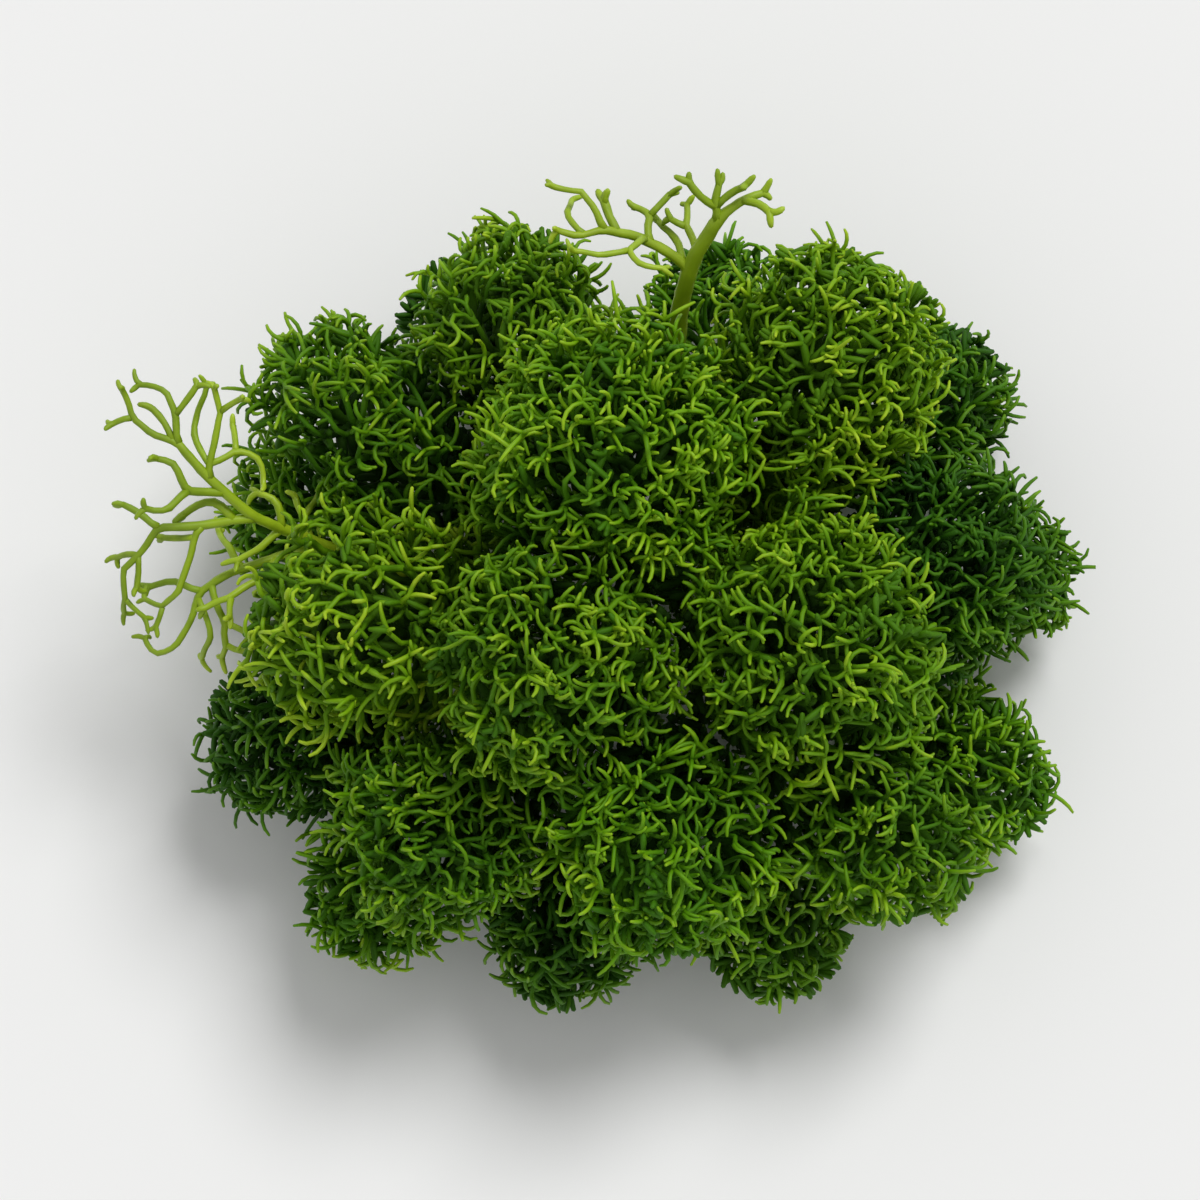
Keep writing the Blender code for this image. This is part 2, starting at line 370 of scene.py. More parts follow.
def smoothed(P, parent, kids, fixed, rounds=2):
    P = P.copy()
    inner = np.array([i for i in range(1, len(P)) if kids[i] and i >= fixed])
    if not len(inner):
        return P
    flat = np.concatenate([np.array(kids[i]) for i in inner])
    owner = np.concatenate([np.full(len(kids[i]), k) for k, i in enumerate(inner)])
    number = np.bincount(owner, minlength=len(inner))
    for _ in range(rounds):
        mean = np.stack([np.bincount(owner, P[flat, k], minlength=len(inner)) for k in range(3)], -1)
        mean /= number[:, None]
        P[inner] = 0.5 * P[inner] + 0.25 * P[parent[inner]] + 0.25 * mean
    return P


def runs_of(kids, weight):
    """Runs of points from one fork to a tip, going on through forks by the weightier
    limb, each with the fork that it starts in first."""
    runs = []
    starts = [(0, None)]
    while starts:
        at, before = starts.pop()
        run = [] if before is None else [before]
        while True:
            run.append(at)
            if not kids[at]:
                break
            ordered = sorted(kids[at], key=lambda k: -weight[k])
            for child in ordered[1:]:
                starts.append((child, at))
            at = ordered[0]
        runs.append(run)
    return runs


def resampled(points, values, spacing):
    """A smooth curve through the points, at about the spacing, with the values along it."""
    length = np.concatenate([[0], np.cumsum(np.linalg.norm(np.diff(points, axis=0), axis=1))])
    count = max(2, int(round(length[-1] / spacing)) + 1)
    at = np.linspace(0, length[-1], count)
    if len(points) == 2:
        u = (at / max(length[-1], 1e-9))[:, None]
        return points[0] * (1 - u) + points[1] * u, values[0] * (1 - u) + values[1] * u
    k = np.clip(np.searchsorted(length, at, side="right") - 1, 0, len(points) - 2)
    u = ((at - length[k]) / np.maximum(length[k + 1] - length[k], 1e-9))[:, None]
    p1, p2 = points[k], points[k + 1]
    p0 = np.where((k > 0)[:, None], points[np.maximum(k - 1, 0)], 2 * p1 - p2)
    last = (k + 2 < len(points))[:, None]
    p3 = np.where(last, points[np.minimum(k + 2, len(points) - 1)], 2 * p2 - p1)
    curve = 0.5 * (2 * p1 + (p2 - p0) * u + (2 * p0 - 5 * p1 + 4 * p2 - p3) * u * u + (3 * p1 - p0 - 3 * p2 + p3) * u ** 3)
    return curve, values[k] * (1 - u) + values[k + 1] * u


# ---------------------------------------------------------------- tubes

class Twigs:
    """Collects tapered tubes, and makes one mesh of them."""

    def __init__(self):
        self.lines = []

    def add(self, points, radii, painted_shade, tint, sides=None):
        """A tube along points. Two numbers colour it: the first is painted shade, darker the deeper the twig lies in
        the clump and lighter towards its end as painted glow; the second is its tint.
        """
        line = [np.asarray(a, float) for a in (points, radii, painted_shade, tint)]
        thick = line[1].max()
        line.append(sides or (5 if thick < 0.42 else 6 if thick < 0.75 else 10))
        self.lines.append(line)

    def mesh(self, name, rng):
        groups = {}
        for line in self.lines:
            groups.setdefault((len(line[0]), line[4]), []).append(line)
        verts, painted_shades, tints, rounds, quads, tris = [], [], [], [], [], []
        base = 0
        for (count, sides), lines in sorted(groups.items(), key=lambda g: g[0]):
            P, R, T, H = (np.stack([line[k] for line in lines]) for k in range(4))
            n = len(lines)
            turn = np.arange(sides) * 2 * math.pi / sides
            cos, sin = np.cos(turn), np.sin(turn)
            along = np.empty_like(P)
            along[:, 1:-1] = P[:, 2:] - P[:, :-2]
            along[:, 0] = P[:, 1] - P[:, 0]
            along[:, -1] = P[:, -1] - P[:, -2]
            along = unit(along)
            u = np.empty_like(P)
            helper = np.where(np.abs(along[:, 0, 2:3]) < 0.9, [[0.0, 0.0, 1.0]], [[1.0, 0.0, 0.0]])
            u[:, 0] = unit(np.cross(along[:, 0], helper))
            for i in range(1, count):
                moved = u[:, i - 1] - (u[:, i - 1] * along[:, i]).sum(-1, keepdims=True) * along[:, i]
                u[:, i] = unit(moved)
            v = np.cross(along, u)
            # Real twigs are a little knobbly
            knobs = R[:, :, None] * (1 + 0.09 * rng.uniform(-1, 1, (n, count, sides)))
            ring = P[:, :, None, :] + knobs[..., None] * (
                cos[None, None, :, None] * u[:, :, None, :] + sin[None, None, :, None] * v[:, :, None, :]
            )
            start_cap = P[:, :1] - along[:, :1] * R[:, :1, None] * 0.3
            end_cap = P[:, -1:] + along[:, -1:] * R[:, -1:, None] * 0.7
            verts.append(np.concatenate([ring.reshape(n, count * sides, 3), start_cap, end_cap], axis=1).reshape(-1, 3))
            for into, values in ((painted_shades, T), (tints, H)):
                into.append(np.concatenate([np.repeat(values, sides, axis=1), values[:, :1], values[:, -1:]], axis=1).ravel())
            circle = np.concatenate([np.tile(np.stack([sin, cos], -1), (count, 1)), np.zeros((2, 2))])
            rounds.append(np.tile(circle, (n, 1)))
            i = np.arange(sides)
            j = (i + 1) % sides
            q = np.concatenate([
                np.stack([k * sides + i, k * sides + j, (k + 1) * sides + j, (k + 1) * sides + i], -1)
                for k in range(count - 1)
            ])
            t = np.concatenate([
                np.stack([np.full(sides, count * sides), j, i], -1),
                np.stack([(count - 1) * sides + i, (count - 1) * sides + j, np.full(sides, count * sides + 1)], -1),
            ])
            per = count * sides + 2
            offsets = base + per * np.arange(n)
            quads.append((q[None] + offsets[:, None, None]).reshape(-1, 4))
            tris.append((t[None] + offsets[:, None, None]).reshape(-1, 3))
            base += per * n
        verts = np.clip(np.concatenate(verts), BOX[0], BOX[1]) * MM
        painted_shades = np.clip(np.concatenate(painted_shades), 0, 1).astype(np.float32)
        tints = np.clip(np.concatenate(tints), 0, 1).astype(np.float32)
        rounds = np.concatenate(rounds)
        quads, tris = np.concatenate(quads), np.concatenate(tris)
        corners = np.concatenate([quads.ravel(), tris.ravel()]).astype(np.int32)
        sizes = np.concatenate([np.full(len(quads), 4), np.full(len(tris), 3)])
        starts = np.concatenate([[0], np.cumsum(sizes)[:-1]]).astype(np.int32)
        mesh = bpy.data.meshes.new(name)
        mesh.vertices.add(len(verts))
        mesh.vertices.foreach_set("co", verts.astype(np.float32).ravel())
        mesh.loops.add(len(corners))
        mesh.loops.foreach_set("vertex_index", corners)
        mesh.polygons.add(len(sizes))
        mesh.polygons.foreach_set("loop_start", starts)
        # The first attribute is the painted shade and glow, the second the tint
        for label, values in (("painted_shade", painted_shades), ("tint", tints)):
            mesh.attributes.new(label, "FLOAT", "POINT").data.foreach_set("value", values)
        # A map of the two numbers themselves. The small circle gives each face a width.
        layer = mesh.uv_layers.new(name="OFBake")
        uv = np.stack([painted_shades, tints], -1) * 0.97 + 0.015 + rounds * 0.004
        layer.uv.foreach_set("vector", uv[corners].astype(np.float32).ravel())
        mesh.update(calc_edges=True)
        mesh.shade_smooth()
        return mesh


def fork_prongs(end, direction, number, length, rng, open_angle=(18, 42), bend=(25, 165)):
    """The twigs that a fork ends in, each curled along an arc, as lists of four points."""
    side = unit(np.cross(direction, rng.normal(size=3)))
    up = np.cross(direction, side)
    spin = rng.uniform(0, 2 * math.pi)
    comb = swirl(end[None], 5)[0] * 0.7
    t = np.array([[0.27], [0.52], [0.77], [1.0]])
    out = []
    for k in range(number):
        phi = spin + 2 * math.pi * k / number + rng.normal() * 0.35
        away = math.cos(phi) * side + math.sin(phi) * up
        a = math.radians(rng.uniform(*open_angle))
        first = math.cos(a) * direction + math.sin(a) * away
        curl = away * rng.uniform(-0.3, 1.2) + comb + rng.normal(size=3) * 0.4
        curl = unit(curl - first * (curl @ first))
        angle = math.radians(rng.uniform(*bend))
        reach = length * rng.uniform(0.6, 1.3)
        out.append(end + reach / angle * (np.sin(angle * t) * first + (1 - np.cos(angle * t)) * curl))
    return out


def clothe(P, parent, radius, rng, loose, base_tint, bright, fixed, lift=0.0):
    """Makes the tubes of a grown tree, with the twigs' ends."""
    kids, reach, leaves = tree_facts(P, parent)
    P = smoothed(P, parent, kids, fixed, 1)
    twigs = Twigs()
    for run in runs_of(kids, radius + 1e-4 * leaves if bright else leaves):
        points = P[run]
        r = radius[run].copy()
        if run[0] != 0:
            r[0] = min(r[0], r[1] * 1.3)
            points[0] = 0.75 * points[0] + 0.25 * points[1]
        inner = CANOPY.find_nearest(Vector(points[-1]))[3] if bright == 0 else 0.0
        points, values = resampled(points, np.stack([r, reach[run]], -1), 0.85 if bright else 1.4 if inner < HIDDEN else 2.4)
        r, to_tip = values[:, 0], values[:, 1]
        if inner > HIDDEN:
            # Painted shade: deep twigs are coloured darker the deeper they lie under the canopy
            shade = 0.40 * max(0.0, 1.0 - inner / 9.0) + 0.10 * np.exp(-to_tip)
            r = np.maximum(r, 0.52)
            r[-1] *= 0.7
            twigs.add(points, r, shade, np.full(len(points), base_tint), 4 if r.max() < 0.55 else None)
            continue
        direction = unit(points[-1] - points[-2])
        tuft = lump(points[-1], 7.0, 9.0)
        last = r[-1]
        if bright:
            ends = fork_prongs(points[-1], direction, 2, 1.4, rng, (25, 50), (20, 70))
        else:
            length = (2.6 + 0.5 * loose) * (1 + 0.4 * tuft)
            hidden = openness(points[-1] - 0.5 * direction) < 0.2
            number = 1 if hidden else 2 if rng.random() < 0.7 else 3
            ends = fork_prongs(points[-1], direction, number, length, rng)
        tint = base_tint + 0.34 * lump(points[-1], 8.0, 2.0) + rng.normal() * 0.12
        line = np.vstack([points, ends[0]])
        line_r = np.concatenate([r, last * np.array([0.98, 0.94, 0.84, 0.60])])
        line_reach = np.concatenate([to_tip + 2.6, [1.9, 1.2, 0.6, 0.0]])
        # Painted shade: twigs darken the deeper they lie under the canopy and lighten towards their ends as painted
        # glow; the lump term gives random lighter and darker tufts, and lift the head's own tone
        depth = np.array([CANOPY.find_nearest(Vector(p))[3] for p in line])
        seen = np.clip(1.08 - depth / 8.0, 0, 1)
        shade = 0.62 * seen + 0.38 * np.exp(-line_reach / 2.2) * (0.35 + 0.65 * seen) + 0.16 * lump(points[-1], 9.0, 6.0) + lift
        shade = np.clip(bright + (1 - bright) * shade, 0, 1)
        fleck = rng.normal(size=len(line)) * 0.04
        twigs.add(line, line_r, shade + fleck, tint + rng.normal(size=len(line)) * 0.03, 7 if bright and last < 0.42 and r.max() < 0.6 else None)
        here, glow = len(points) - 1, shade[len(points) - 1:]
        for prong in ends[1:]:
            spur = np.vstack([points[-1] - direction * last * 0.5, prong])
            twigs.add(spur, last * np.array([0.97, 0.95, 0.91, 0.82, 0.58]), glow + rng.normal() * 0.05, np.full(5, tint + rng.normal() * 0.05))
        if bright:
            continue
        # Side twigs part way along
        for i in range(2, here):
            if r[i] > 0.45 or depth[i] > 6.0 or rng.random() > 0.30:
                continue
            forward = unit(points[min(i + 1, here)] - points[i - 1])
            prong = fork_prongs(points[i], unit(forward + 0.9 * unit(np.cross(forward, rng.normal(size=3)))), 1, 0.8 * length, rng)[0]
            thin = min(r[i], TIP_RADIUS * 1.1)
            # Painted glow: a side twig lightens towards its end
            start = shade[i]
            glow = start + (min(1, start + 0.25) - start) * np.array([0, 0.3, 0.55, 0.8, 1])
            twigs.add(np.vstack([points[i], prong]), thin * np.array([0.96, 0.92, 0.87, 0.78, 0.56]), glow, np.full(5, tint + rng.normal() * 0.06), 4)
    return twigs


def grow_head(name, index):
    rng = np.random.default_rng(1000 + index)
    colour, loose, tint = HEADS[name]
    points, _ = SOLIDS[name]
    foot = points[points[:, 2] < 0.05].mean(0)
    targets, kills = attractors(name, rng, loose)
    heart = targets.mean(0)
    along = heart - foot
    length = np.linalg.norm(along)
    side = unit(np.cross(along, rng.normal(size=3)))
    t = np.linspace(0, 0.66, max(6, int(0.66 * length / STEP)))[:, None]
    sway = side * np.sin(t * 5.0 + rng.uniform(0, 6)) * 0.45 * np.minimum(1, 4 * t)
    trunk = foot + along * t + sway
    P, parent = grow(trunk, np.arange(len(trunk)) - 1, targets, kills, rng, 50 + index)
    _, _, leaves = tree_facts(P, parent)
    radius = np.minimum(TIP_RADIUS * (1 + 0.22 * loose) * leaves ** (1 / 3.3), STEM_RADIUS)
    radius += (FOOT_RADIUS - STEM_RADIUS) * np.exp(-P[:, 2] / 1.5) * (np.arange(len(P)) < len(trunk))
    return clothe(P, parent, radius, rng, loose, tint, 0.0, 4, LIFT.get(name, 0.0))


def inside_a_head(p):
    up = Vector((0.02, 0.03, 1.0)).normalized()
    for name in HEADS:
        walls, start = 0, Vector(p)
        while True:
            hit = TREES[name].ray_cast(start, up)[0]
            if hit is None:
                break
            walls += 1
            start = hit + up * 0.01
        if walls % 2:
            return True
    return False


def grow_spray(name, index):
    rng = np.random.default_rng(2000 + index)
    P, parent, radius, marks = [], [], [], {}
    for limb, start, way, first, last in SPRAYS[name]:
        way = [np.array((x + SHIFT[0], y + SHIFT[1], z)) for x, y, z in way]
        if start is None:
            P.append(way[0])
            parent.append(-1)
            radius.append(first)
            at, marks[limb] = 0, [0]
            way = way[1:]
        else:
            host, _, mark = start.partition("@")
            at = marks[host][int(mark) if mark else -1]
            marks[limb] = []
        before = P[parent[at]] if parent[at] >= 0 else 2 * P[at] - way[0]
        knots = [before, P[at]] + way
        knots.append(2 * knots[-1] - knots[-2])
        for k in range(1, len(knots) - 2):
            p0, p1, p2, p3 = knots[k - 1:k + 3]
            if k == 1:
                p0 = p1 - unit(p1 - p0) * np.linalg.norm(p2 - p1)
            count = max(2, int(round(np.linalg.norm(p2 - p1) / STEP)))
            for u in (np.arange(count) + 1) / count:
                P.append(0.5 * (2 * p1 + (p2 - p0) * u + (2 * p0 - 5 * p1 + 4 * p2 - p3) * u * u + (3 * p1 - p0 - 3 * p2 + p3) * u ** 3))
                parent.append(at)
                at = len(P) - 1
                radius.append(first + (last - first) * ((k - 1 + u) / (len(knots) - 3)) ** 0.6)
            marks[limb].append(at)
    fixed = len(P)
    # Limbs also keep clear of one another seen from above, so the fan stays open
    above, clear = unit(np.array((0.06, -0.16, 0.98))), 0.80
    face = unit(np.array((-0.35, -0.1, 1.0) if name == "antler_spray" else (0.0, 0.5, 1.0)))
    reach_low = np.maximum(np.min(P, axis=0) - 1.0, BOX[0] + 1.1)
    reach_high = np.minimum(np.max(P, axis=0) + 1.0, BOX[1] - 1.1)

    def branch(at, heading, level):
        """One curved limb from a point, forking again at its end; False if it would
        not have room."""
        length = (3.5, 2.9, 2.3)[level] * rng.uniform(0.8, 1.25)
        curl = np.cross(face, heading) * rng.choice((-1, 1)) + 0.5 * rng.normal(size=3)
        curl = unit(curl - heading * (curl @ heading))
        angle = rng.uniform(0.15, 0.70)
        count = max(3, int(round(length / 0.7)))
        t = ((np.arange(count) + 1) / count)[:, None]
        way = P[at] + length / angle * (np.sin(angle * t) * heading + (1 - np.cos(angle * t)) * curl)
        if (way < reach_low).any() or (way > reach_high).any() or any(inside_a_head(p) for p in way):
            return False
        known = np.array(P)
        known = known[np.linalg.norm(known - P[at], axis=1) > 1.3]
        apart = known[None] - way[-3:, None]
        beside = apart - (apart @ above)[..., None] * above
        if np.linalg.norm(apart, axis=-1).min() < 1.35 or np.linalg.norm(beside, axis=-1).min() < clear:
            return False
        thick = min(radius[at] * 0.92, (0.46, 0.40, 0.34)[level])
        before = at
        for p in way:
            P.append(p)
            parent.append(before)
            radius.append(thick)
            before = len(P) - 1
        if level < 2:
            onward = unit(P[before] - P[parent[before]])
            fork(before, onward, level + 1, (0.45, 0.85))
        return True

    def fork(at, onward, level, angles, both=True):
        out = unit(np.cross(face, onward))
        first = rng.choice((-1, 1))
        for sign in ((first, -first) if both else (first,)):
            for _ in range(7):
                a = rng.uniform(*angles)
                heading = unit(math.cos(a) * onward + sign * math.sin(a) * unit(out + rng.normal() * 0.35 * face))
                if branch(at, heading, level):
                    break

    # Forks at the ends of the named limbs, and side limbs every few millimetres
    for at in [i for i in range(fixed) if i not in parent]:
        fork(at, unit(P[at] - P[parent[at]]), 1, (0.45, 0.85))
    since = 0.0
    for at in range(1, fixed):
        since += np.linalg.norm(P[at] - P[parent[at]])
        if radius[at] < (0.62 if name == "antler_spray" else 0.80) and since > 3.5:
            fork(at, unit(P[at] - P[parent[at]]), int(rng.integers(0, 2)), (0.7, 1.15), rng.random() < 0.3)
            since = 0.0
    P, parent, radius = np.array(P), np.array(parent), np.array(radius)
    return clothe(P, parent, radius, rng, 0.6, 0.50, 0.48, fixed)


# ---------------------------------------------------------------- materials

def node(tree, kind, x, y, **settings):
    made = tree.nodes.new(kind)
    made.location = (x, y)
    for key, value in settings.items():
        setattr(made, key, value)
    return made


def ramp(tree, x, y, stops):
    made = node(tree, "ShaderNodeValToRGB", x, y)
    elements = made.color_ramp.elements
    while len(elements) < len(stops):
        elements.new(0.5)
    for element, (at, colour) in zip(elements, stops):
        element.position = at
        element.color = (*colour, 1.0)
    return made


# Linear colours along the painted shade: darkest deep inside, then halfway out and near a twig's end, lightest at its
# tip, where the lightness is painted glow and highlight. The second row is the yellower twigs'.
PALETTES = {
    "leaf_green": (
        ((0.0100, 0.0420, 0.0005), (0.045, 0.165, 0.0010), (0.108, 0.286, 0.002), (0.222, 0.420, 0.009)),
        ((0.0130, 0.0470, 0.0005), (0.062, 0.184, 0.0010), (0.152, 0.322, 0.003), (0.305, 0.480, 0.014)),
    ),
    "moss_green": (
        ((0.0095, 0.0390, 0.0005), (0.041, 0.147, 0.0010), (0.098, 0.252, 0.002), (0.200, 0.380, 0.009)),
        ((0.0125, 0.0430, 0.0005), (0.056, 0.167, 0.0010), (0.137, 0.287, 0.003), (0.275, 0.430, 0.013)),
    ),
    "lime_green": (
        ((0.0130, 0.0450, 0.0005), (0.054, 0.170, 0.0010), (0.122, 0.286, 0.003), (0.250, 0.430, 0.012)),
        ((0.0200, 0.0560, 0.0006), (0.090, 0.226, 0.0015), (0.205, 0.380, 0.005), (0.390, 0.545, 0.022)),
    ),
    "deep_green": (
        ((0.0060, 0.0310, 0.0006), (0.021, 0.096, 0.0014), (0.054, 0.176, 0.003), (0.116, 0.275, 0.008)),
        ((0.0080, 0.0350, 0.0005), (0.032, 0.115, 0.0014), (0.082, 0.210, 0.003), (0.168, 0.324, 0.009)),
    ),
    "pale_lime": (
        ((0.0300, 0.0600, 0.0010), (0.155, 0.260, 0.003), (0.280, 0.430, 0.008), (0.410, 0.565, 0.026)),
        ((0.0360, 0.0650, 0.0010), (0.195, 0.295, 0.004), (0.345, 0.480, 0.012), (0.490, 0.620, 0.036)),
    ),
}


def lichen_material(name):
    made = bpy.data.materials.new(name)
    made.use_nodes = True
    tree = made.node_tree
    shader = tree.nodes["Principled BSDF"]
    # The first attribute is painted shade deep inside the clump and painted glow towards the twig ends
    painted_shade = node(tree, "ShaderNodeAttribute", -1100, 250, attribute_name="painted_shade")
    tint = node(tree, "ShaderNodeAttribute", -1100, 0, attribute_name="tint")
    cool, warm = PALETTES[name]
    places = (0.0, 0.42, 0.76, 1.0)
    a = ramp(tree, -800, 350, list(zip(places, cool)))
    b = ramp(tree, -800, 100, list(zip(places, warm)))
    tree.links.new(painted_shade.outputs["Fac"], a.inputs["Fac"])
    tree.links.new(painted_shade.outputs["Fac"], b.inputs["Fac"])
    mix = node(tree, "ShaderNodeMix", -450, 250, data_type="RGBA")
    tree.links.new(tint.outputs["Fac"], mix.inputs["Factor"])
    tree.links.new(a.outputs["Color"], mix.inputs[6])
    tree.links.new(b.outputs["Color"], mix.inputs[7])
    tree.links.new(mix.outputs[2], shader.inputs["Base Color"])
    # Glycerine leaves the outer twigs glossier than the felted inner ones
    rough = node(tree, "ShaderNodeMapRange", -450, -50)
    rough.inputs["To Min"].default_value = 0.80
    rough.inputs["To Max"].default_value = 0.36
    tree.links.new(painted_shade.outputs["Fac"], rough.inputs["Value"])
    tree.links.new(rough.outputs["Result"], shader.inputs["Roughness"])
    where = node(tree, "ShaderNodeTexCoord", -1100, -350)
    felt = node(tree, "ShaderNodeTexNoise", -800, -350)
    felt.inputs["Scale"].default_value = 3200.0
    felt.inputs["Detail"].default_value = 2.0
    tree.links.new(where.outputs["Object"], felt.inputs["Vector"])
    bump = node(tree, "ShaderNodeBump", -450, -350)
    bump.inputs["Strength"].default_value = 0.35
    bump.inputs["Distance"].default_value = 0.00008
    tree.links.new(felt.outputs["Fac"], bump.inputs["Height"])
    tree.links.new(bump.outputs["Normal"], shader.inputs["Normal"])
    shader.inputs["Specular IOR Level"].default_value = 0.42 if name == "pale_lime" else 0.16
    return made


MATERIALS = {name: lichen_material(name) for name in PALETTES}


# ---------------------------------------------------------------- the pieces

def add_piece(node_name, twigs, colour, seed):
    mesh = twigs.mesh(node_name + "_twigs", np.random.default_rng(seed))
    mesh.materials.append(MATERIALS[colour])
    piece = bpy.data.objects.new(node_name + "_twigs", mesh)
    bpy.context.scene.collection.objects.link(piece)
    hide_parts(node_name)
    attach(piece, "root")


CELL = 0.25


class Outlook:
    """The clump seen from one direction, from far off or from a distance in mm."""

    def __init__(self, away, distance=None):
        self.away = unit(np.array(away))
        self.across = unit(np.cross((0, 1, 0), self.away))
        self.up = np.cross(self.away, self.across)
        self.distance = distance
        self.aim = np.array((BOX[:, 0].mean(), BOX[:, 1].mean(), 22.0))

    def flat(self, points):
        p = points - self.aim
        scale = 1.0 if self.distance is None else (self.distance / (self.distance - p @ self.away))[..., None]
        return np.stack([p @ self.across, p @ self.up], -1) * scale

    def sight(self, at):
        """Where the line of sight through a flat point starts, and its direction."""
        on = self.aim + self.across * at[0] + self.up * at[1]
        if self.distance is None:
            return on + self.away * 90.0, -self.away
        way = unit(on - self.aim - self.away * self.distance)
        return on - way * 90.0, way


def shade_map(lines, outlook, low, shape, grid):
    """Marks the cells of a grid that tubes hide, seen from one direction."""
    start = np.concatenate([line[0][:-1] for line in lines])
    end = np.concatenate([line[0][1:] for line in lines])
    r0 = np.concatenate([line[1][:-1] for line in lines])
    r1 = np.concatenate([line[1][1:] for line in lines])
    count = np.ceil(np.linalg.norm(end - start, axis=1) / 0.2).astype(int) + 1
    which = np.repeat(np.arange(len(count)), count)
    t = (np.arange(count.sum()) - np.repeat(np.cumsum(count) - count, count)) / count[which]
    p = start[which] + (end - start)[which] * t[:, None]
    r = r0[which] + (r1 - r0)[which] * t
    at = outlook.flat(p) - low
    for i in range(-3, 4):
        for j in range(-3, 4):
            near = (np.floor(at / CELL) + (i, j)).astype(int)
            gap = np.linalg.norm((near + 0.5) * CELL - at, axis=1)
            ok = (gap < r) & (near >= 0).all(1) & (near < shape).all(1)
            grid[near[ok, 0], near[ok, 1]] = True


def crossings(p, way):
    """The stretches of a straight line that lie inside the heads."""
    found = []
    for name in HEADS:
        start, walls, gone = Vector(p), [], 0.0
        while True:
            hit, _, _, distance = TREES[name].ray_cast(start, way)
            if hit is None:
                break
            gone += distance
            walls.append(gone)
            start = hit + way * 0.01
            gone += 0.01
        found += [(name, a, b) for a, b in zip(walls[::2], walls[1::2])]
    return found


def close_gaps(grown, outlook, rng):
    """Adds stems deep inside wherever one could look right through the clump."""
    corners = np.array([[BOX[i][0], BOX[j][1], BOX[k][2]] for i in (0, 1) for j in (0, 1) for k in (0, 1)])
    flat = outlook.flat(corners)
    low = flat.min(0)
    shape = np.ceil((flat.max(0) - low) / CELL).astype(int)
    grid = np.zeros(shape, bool)
    shade_map([line for twigs in grown.values() for line in twigs.lines], outlook, low, shape, grid)
    stems = {name: np.concatenate([line[0][:-1] for line in grown[name].lines]) for name in HEADS}
    heart = {name: np.linalg.norm(points - MIDDLE, axis=1) for name, points in stems.items()}
    open_cells = np.argwhere(~grid)
    open_cells = open_cells[open_cells.sum(1) % 2 == 0]
    rng.shuffle(open_cells)
    for i, j in open_cells:
        if grid[i, j]:
            continue
        p, way = outlook.sight((np.array((i, j)) + 0.5) * CELL + low)
        if WHOLE.ray_cast(Vector(p), Vector(way))[0] is None:
            continue
        inside = crossings(p, Vector(way))
        if not inside or max(b for _, _, b in inside) - min(a for _, a, _ in inside) < 12.0:
            continue
        best, deepest = None, 2.2
        for name, a, b in inside:
            if b - a < 1.2:
                continue
            for u in (0.3, 0.5, 0.7, 1.0 - 0.6 / (b - a)):
                q = p + way * (a + (b - a) * u)
                depth = CANOPY.find_nearest(Vector(q))[3]
                if depth > deepest:
                    _, normal, _, wall = TREES[name].find_nearest(Vector(q))
                    if wall < 0.5:
                        # The line skims a wall, so the stem goes just inside it
                        q = q - np.array(normal) * (0.5 - wall)
                        wall = TREES[name].find_nearest(Vector(q))[3]
                    if wall > 0.45:
                        best, deepest = (name, q, wall), depth
        if best is None:
            continue
        name, q, wall = best
        far = np.linalg.norm(stems[name] - q, axis=1)
        far[(far < 1.0) | (heart[name] > np.linalg.norm(q - MIDDLE))] = 99.0
        if far.min() > 14.0:
            continue
        root = stems[name][far.argmin()]
        thick = min(0.55, wall - 0.04, 0.20 + 0.06 * deepest)
        end = q + unit(q - root) * min(1.4, wall - thick, deepest - 1.5)
        # Painted shade: the deeper the stem lies, the darker its colour
        shade = 0.52 * max(0.0, 1.0 - deepest / 8.0)
        line = (np.array([root, q, end]), thick * np.array([0.85, 1.0, 0.7]), np.full(3, shade), np.full(3, HEADS[name][2]), 4)
        grown[name].add(*line)
        shade_map([line], outlook, low, shape, grid)


GROWN = {name: grow_head(name, index) for index, name in enumerate(HEADS)}
OUTLOOKS = [Outlook((0.059, -0.163, 0.985), 900.0)]
OUTLOOKS += [Outlook(away) for away in ((0.64, -0.64, 0.42), (-0.68, 0.68, 0.26), (1.0, 0.0, 0.05), (0.0, -1.0, 0.05))]
for index, outlook in enumerate(OUTLOOKS):
    close_gaps(GROWN, outlook, np.random.default_rng(4000 + index))

for index, name in enumerate(HEADS):
    add_piece(name, GROWN[name], HEADS[name][0], 3000 + index)

for index, name in enumerate(SPRAYS):
    add_piece(name, grow_spray(name, index), "pale_lime", 3100 + index)


# ---------------------------------------------------------------- floor, light, camera

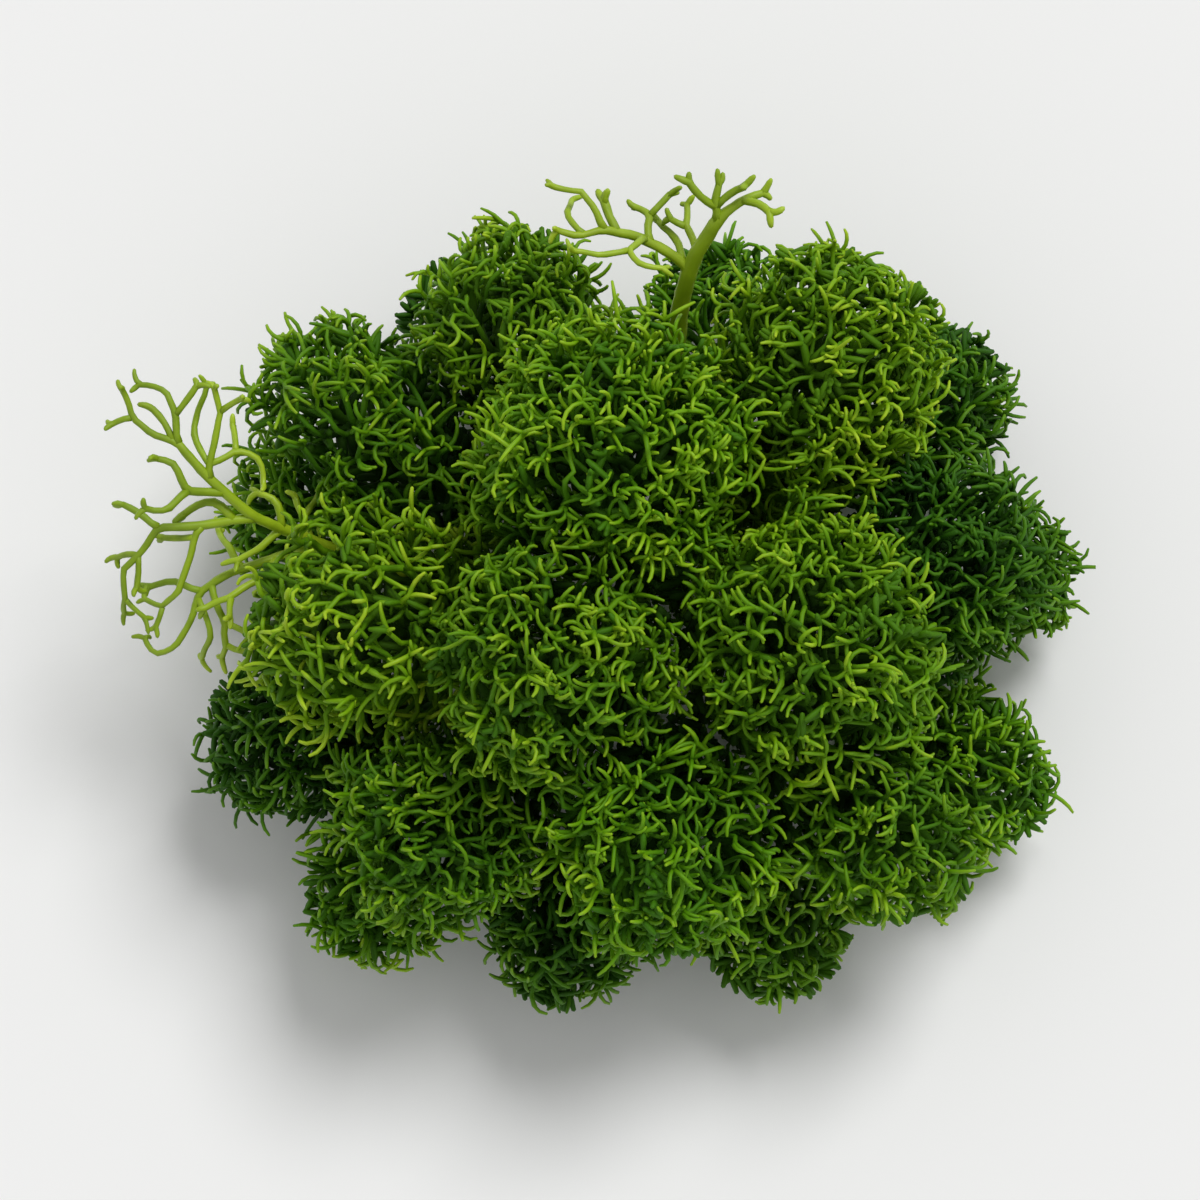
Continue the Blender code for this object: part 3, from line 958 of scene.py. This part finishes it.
def stage():
    corners = [(x, y, -0.0002) for x, y in ((-15, -15), (15, -15), (15, 15), (-15, 15))]
    mesh = bpy.data.meshes.new("floor")
    mesh.from_pydata(corners, [], [(0, 1, 2, 3)])
    floor = bpy.data.objects.new("floor", mesh)
    bpy.context.scene.collection.objects.link(floor)
    paper = bpy.data.materials.new("pale_floor")
    paper.use_nodes = True
    shader = paper.node_tree.nodes["Principled BSDF"]
    shader.inputs["Base Color"].default_value = (0.86, 0.86, 0.855, 1)
    shader.inputs["Roughness"].default_value = 1.0
    shader.inputs["Specular IOR Level"].default_value = 0.0
    mesh.materials.append(paper)
    floor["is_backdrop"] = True

    # A studio sweep: pale at the horizon, like the floor, and dimmer overhead
    world = bpy.data.worlds.new("studio")
    bpy.context.scene.world = world
    world.use_nodes = True
    tree = world.node_tree
    background = tree.nodes["Background"]
    where = node(tree, "ShaderNodeTexCoord", -900, 0)
    split = node(tree, "ShaderNodeSeparateXYZ", -700, 0)
    tree.links.new(where.outputs["Generated"], split.inputs[0])
    tone = ramp(tree, -450, 0, [(0.0, (0.86,) * 3), (0.15, (0.86,) * 3), (0.45, (0.47,) * 3), (1.0, (0.47,) * 3)])
    tree.links.new(split.outputs["Z"], tone.inputs["Fac"])
    tree.links.new(tone.outputs["Color"], background.inputs["Color"])
    background.inputs["Strength"].default_value = 1.0

    key = bpy.data.lights.new("key", "SUN")
    key.energy = 2.0
    key.angle = math.radians(24)
    lamp = bpy.data.objects.new("key", key)
    lamp.rotation_euler = Vector((0.42, 0.55, 1.0)).to_track_quat("Z", "Y").to_euler()
    bpy.context.scene.collection.objects.link(lamp)


def camera():
    data = bpy.data.cameras.new("camera")
    data.sensor_width = 36.0
    data.lens = 268.0
    cam = bpy.data.objects.new("camera", data)
    bpy.context.scene.collection.objects.link(cam)
    low, high = (np.array(v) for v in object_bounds())
    target = Vector((low + high) / 2)
    target.z = 0.022
    back = Vector((0.059, -0.163, 0.985)).normalized()
    right = (Vector((1, 0, 0)) - back * back.x).normalized()
    up = back.cross(right)
    turn = Matrix((right, up, back)).transposed()
    cam.matrix_world = Matrix.Translation(target + back * 0.9) @ turn.to_4x4()
    data.clip_start, data.clip_end = 0.01, 100
    bpy.context.scene.camera = cam


stage()
camera()

view = bpy.context.scene.view_settings
view.view_transform = "Standard"
